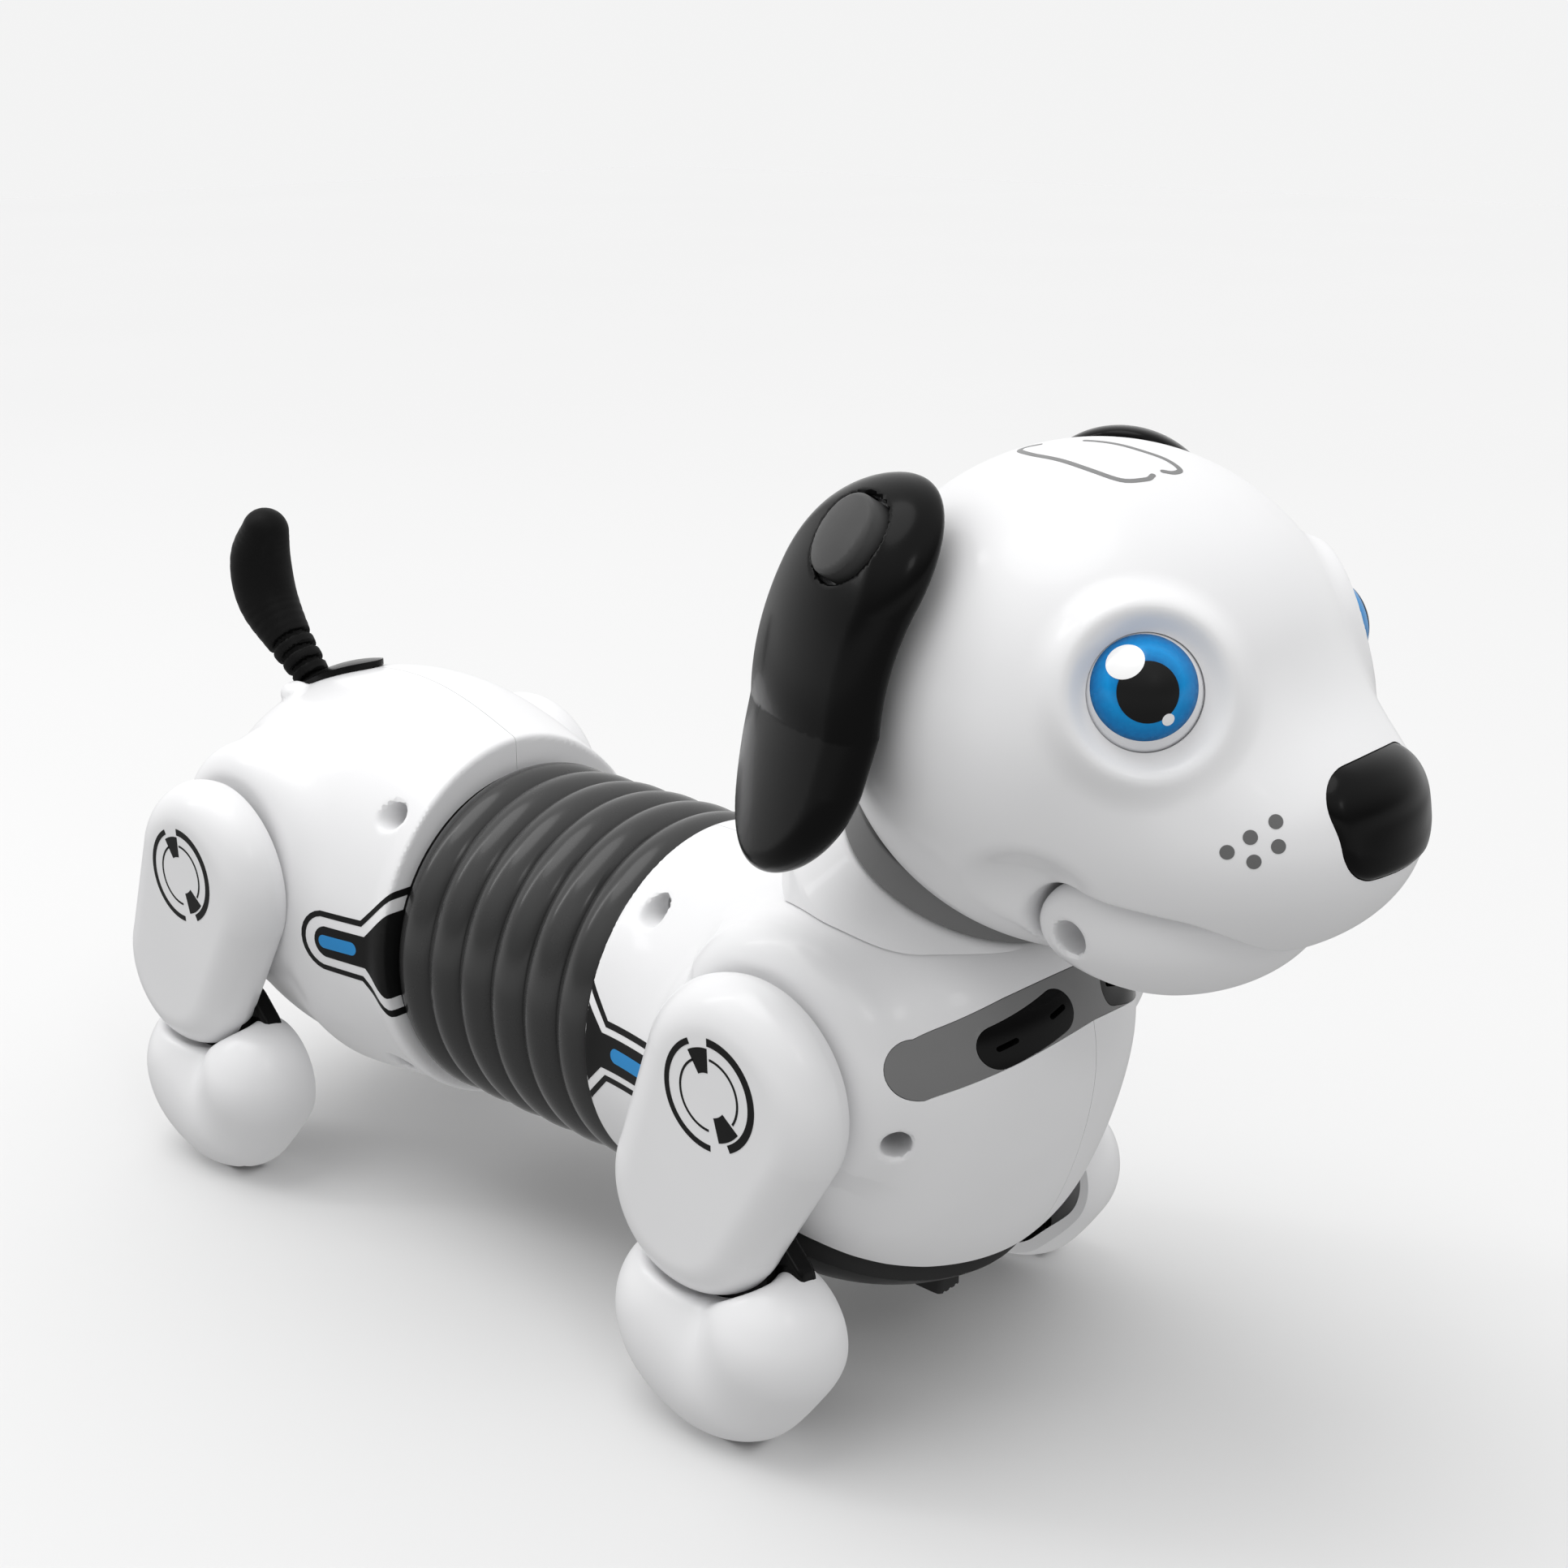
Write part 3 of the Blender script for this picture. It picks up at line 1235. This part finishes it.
ARCS = {
    "arc_a": (8.0, 9.3, -62, 92, 40),
    "arc_b": (8.3, 9.3, 118, 272, 40),
    "inner_arc_a": (5.7, 6.1, -34, 88, 32),
    "inner_arc_b": (5.7, 6.1, 122, 270, 32),
    "block_a": (3.6, 7.6, 92, 124, 8),
    "block_b": (3.6, 7.6, -74, -38, 8),
}


def thigh_piece(leg, sign, leg_x, field):
    """The upper casing of a leg, with a broken ring printed round its axle."""
    near, far = span(sign, 30, 50)
    low, high = (leg_x - 28, near, 22), (leg_x + 23, far, 84)
    shell = sculpt("thigh", field, low, high, FINE * 0.85)
    common(shell, side_block(sign, (leg_x - 60, leg_x + 60), (LEG_INNER_Y, 70), (0, 100)))
    hollow = sculpt("thigh_hollow", field, low, high, FINE * 1.5, WALL)
    minus(shell, hollow, frame_notch(sign, leg_x))
    body = f"leg_{leg}"
    finish_piece(shell, f"thigh_casing_{leg}", body, "white", field, [f"thigh_{leg}"])
    near, far = span(sign, 42, 50)
    skin = ink_skin(field, (leg_x - 12, near, LEG_Z - 12), (leg_x + 12, far, LEG_Z + 12))
    for label, sizes in ARCS.items():
        region = prism(sector((leg_x, LEG_Z), *sizes), *span(sign, 42, 60))
        print_on(skin, f"leg_{label}_{leg}", body, "ink_black", field, region)
    discard(skin)


def ankle_piece(leg, sign, leg_x):
    """The black bracket that shows between thigh and foot."""
    middle = LEG_INNER_Y - 1.4

    def field(p):
        outline = tapered_bar(p, (leg_x + 2.5, 33.5), (leg_x + 6.0, 30.5), 5.0, 4.6)
        return slab(outline, np.abs(p[:, 1]) - middle, 1.9, 0.8)

    near, far = span(sign, middle - 4, middle + 4)
    made = sculpt("ankle", field, (leg_x - 5, near, 19), (leg_x + 16, far, 42), SMALL)
    finish_piece(made, f"ankle_{leg}", f"leg_{leg}", "gloss_black", field)


def foot_piece(leg, sign, leg_x, roller_x, field):
    """The foot's casing, open below for the roller and its fork."""
    near, far = span(sign, 24, 52)
    low, high = (leg_x - 34, near, -3), (leg_x + 24, far, 38)
    shell = sculpt("foot", field, low, high, FINE * 0.85)
    common(shell, side_block(sign, (leg_x - 60, leg_x + 60), (FOOT_INNER_Y, 70), (SOLE_Z, 60)))

    def inside(p):
        return np.maximum(field(p) + FOOT_WALL, SOLE_Z + FOOT_WALL - p[:, 2])

    hollow = sculpt("foot_hollow", inside, low, high, FINE * 1.3)
    roller_slot = side_block(sign, (roller_x - 6.2, roller_x + 6.2), (37.5, 42.5), (-5, 6))
    fork_slot = side_block(sign, (roller_x - 3.9, roller_x + 3.9), (35.7, 44.3), (3.6, 15))
    minus(shell, hollow, roller_slot, frame_notch(sign, leg_x), fork_slot)
    finish_piece(shell, f"foot_casing_{leg}", f"leg_{leg}", "white", field, [f"foot_{leg}"])


def roller_piece(leg, sign, place):
    """A tyre with a groove round it, on a hub with stub axles."""
    centre = (place[0], sign * abs(place[1]), place[2])
    tread = [(1.2, 2.0), (5.2, 2.0), (5.6, 1.6), (5.6, 0.35)]
    tyre = [*tread, (5.35, 0.0), *[(radius, -y) for radius, y in tread[::-1]]]
    step = [(0.02, 3.9), (0.9, 3.9), (0.9, 2.0), (1.2, 2.0)]
    stub = [*step, *[(radius, -y) for radius, y in step[::-1]]]
    wheel = turned("tyre", rounded(tyre, 0.3, 3), centre, (0, 1, 0), 72)
    plus(wheel, turned("stub", stub, centre, (0, 1, 0), 24))
    finish_piece(wheel, f"tyre_{leg}", f"roller_{leg}", "satin_black", None, [f"roller_{leg}"])


# Everything that keeps its frame shape gets its finish


def finish_frame_nodes():
    slot_of = {}
    for entry in frame["record"]["materials"]:
        slot_of.update(dict.fromkeys(entry.get("nodes", []), entry["slot"]))
    for name, node in frame["nodes"].items():
        if node.hide_render:
            continue
        finish = NODE_FINISH[slot_of[name]] if name in slot_of else "satin_black"
        node.data.materials.clear()
        node.data.materials.append(FINISHES[finish])


# Camera, floor and light


def camera_and_light():
    data = bpy.data.cameras.new("camera")
    data.lens = 50
    data.sensor_width = 36
    data.clip_start = 0.01
    data.clip_end = 100
    camera = new_object("camera", data)
    camera.location = (0.2525, -0.2596, 0.2119)
    camera.rotation_euler = (math.radians(71.5), 0, math.radians(41.81))
    bpy.context.scene.camera = camera

    floor = block((-3000, -3000, -2), (3000, 3000, 0))
    floor.name = "floor"
    floor.data.transform(Matrix.Scale(MM, 4))
    pale = new_material("pale_floor")
    colour = pale.mix(pale.noise(3.0), srgb(228, 228, 228), srgb(226, 226, 226))
    pale.dress(Base_Color=colour, Roughness=0.9, Specular_IOR_Level=0.0)
    floor.data.materials.append(pale.owner)
    floor.visible_diffuse = False
    floor.visible_glossy = False

    for name, place, (width, depth), radiance in (
        ("strip_light", (-0.55, -0.35, 0.65), (0.10, 0.5), 4.5),
        ("nose_light", (0.75, -0.35, 0.75), (0.16, 0.16), 4.0),
    ):
        lamp = bpy.data.lights.new(name, "AREA")
        lamp.shape = "RECTANGLE"
        lamp.size, lamp.size_y = width, depth
        lamp.energy = radiance * math.pi * width * depth
        lit = new_object(name, lamp)
        lit.location = place
        way = Vector((0, 0, 0.07)) - Vector(place)
        lit.rotation_euler = way.to_track_quat("-Z", "Y").to_euler()
    sun = bpy.data.lights.new("top_light", "SUN")
    sun.energy = 0.8
    sun.angle = math.radians(40)
    new_object("top_light", sun).rotation_euler = (math.radians(10), math.radians(-10), 0)
    studio()
    bpy.context.scene.view_settings.view_transform = "Standard"


def studio():
    """A white studio, brightest overhead and, at eye level, behind the dog's left side."""
    n = Nodes(bpy.data.worlds.new("studio"))
    way = n.add("ShaderNodeTexCoord").outputs["Generated"]

    def graded(*measures):
        return n.spread(*measures, interpolation_type="SMOOTHSTEP")

    facing = n.add("ShaderNodeVectorMath", {0: way, 1: (-0.67, 0.745, 0)}, operation="DOT_PRODUCT")
    height = n.add("ShaderNodeSeparateXYZ", {0: way}).outputs["Z"]
    eye_level = graded(facing.outputs["Value"], -0.6, 0.8, 0.24, 0.9)
    horizon = graded(height, 0.06, 0.22, 0.9, eye_level)
    upper = graded(height, 0.2, 0.8, horizon, 1.05)
    lower = graded(height, -0.25, -0.06, 0.5, 1.0)
    background = n.tree.nodes["Background"]
    n.feed(background.inputs["Strength"], n.times(upper, lower))
    n.feed(background.inputs["Color"], (1, 1, 1, 1))
    bpy.context.scene.world = n.owner


camera_and_light()
front_body()
belly_cover()
rear_body()
body_graphics()
neck()
bellows()
tail()
head()
eyes()
ears()
legs()
finish_frame_nodes()
